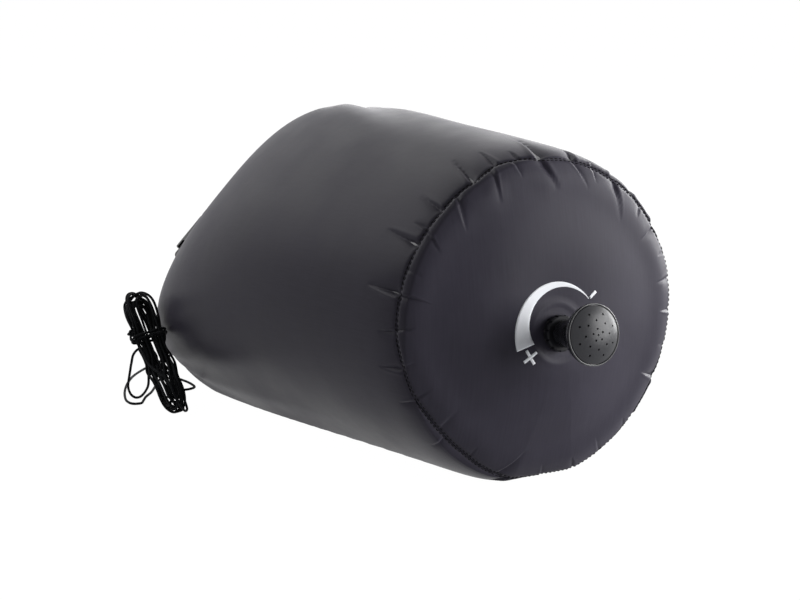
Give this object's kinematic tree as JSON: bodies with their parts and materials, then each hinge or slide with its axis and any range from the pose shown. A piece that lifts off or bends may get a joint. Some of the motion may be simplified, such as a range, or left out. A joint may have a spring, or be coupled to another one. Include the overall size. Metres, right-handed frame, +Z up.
{
  "type": "camp shower bag",
  "caption": "Soft roll-top water bag lying on its side, with a screw-down shower rose in its round base, a side-release buckle on the roll and a hang cord in a hank.",
  "frame": {"origin": "on the floor, under the middle of the bag's flat underside", "axes": "+Y along the bag from its base to its rolled top, +Z up from the floor, +X to the side"},
  "size_m": [0.2471, 0.5216, 0.2088],
  "materials": {
    "nylon": "coated ripstop nylon, satin",
    "seam_film": "welded film, satin",
    "stiffener_strip": "flexible strip, satin",
    "buckle_plastic": "moulded, semi-gloss",
    "webbing": "woven webbing, matt",
    "valve_plastic": "moulded, satin",
    "seal_rubber": "soft, matt",
    "rose_plastic": "moulded, glossy",
    "cordage": "braided cord, matt"
  },
  "bodies": {
    "bag": {"body_panel": "nylon", "base_panel": "nylon", "rolled_collar": "nylon", "base_seam_tape": "seam_film", "side_seam_tape": "seam_film", "roll_stiffener": "stiffener_strip", "buckle_female": "buckle_plastic", "buckle_male": "buckle_plastic", "buckle_tab_female": "webbing", "buckle_tab_male": "webbing", "valve_body": "valve_plastic", "lock_nut": "valve_plastic", "outer_washer": "seal_rubber", "inner_gasket": "seal_rubber", "cord_hank": "cordage", "cord_hitch": "cordage", "cord_lead": "cordage", "cord_knot_roll": "cordage", "cord_knot_tail": "cordage"},
    "seal": {"rose_oring": "seal_rubber"},
    "rose": {"rose_bell": "rose_plastic", "rose_face": "rose_plastic"},
    "latch_back": {"latch_arm_back": "buckle_plastic"},
    "latch_front": {"latch_arm_front": "buckle_plastic"}
  },
  "joints": [
    {"name": "rose_lift", "type": "slide", "parent": "bag", "child": "seal", "axis": [0, -0.9877, 0.1564], "range_m": [0, 0.002]},
    {"name": "rose_turn", "type": "hinge", "parent": "seal", "child": "rose", "pos_m": [-0.002, -0.1703, 0.0945], "axis": [0, -0.9877, 0.1564], "range_deg": [0, 180]},
    {"name": "latch_back_squeeze", "type": "hinge", "parent": "bag", "child": "latch_back", "pos_m": [0.01035, 0.30455, 0.09616], "axis": [-0.702, 0.0628, 0.7094], "range_deg": [0, 10.5], "stiffness_Nm_per_rad": 0.05},
    {"name": "latch_front_squeeze", "type": "hinge", "parent": "bag", "child": "latch_front", "pos_m": [0.0096, 0.28758, 0.09692], "axis": [0.702, -0.0628, -0.7094], "range_deg": [0, 10.5], "stiffness_Nm_per_rad": 0.05}
  ],
  "couplings": [
    {"joint": "rose_lift", "follows": "rose_turn", "m_per_rad": 0.000636}
  ]
}
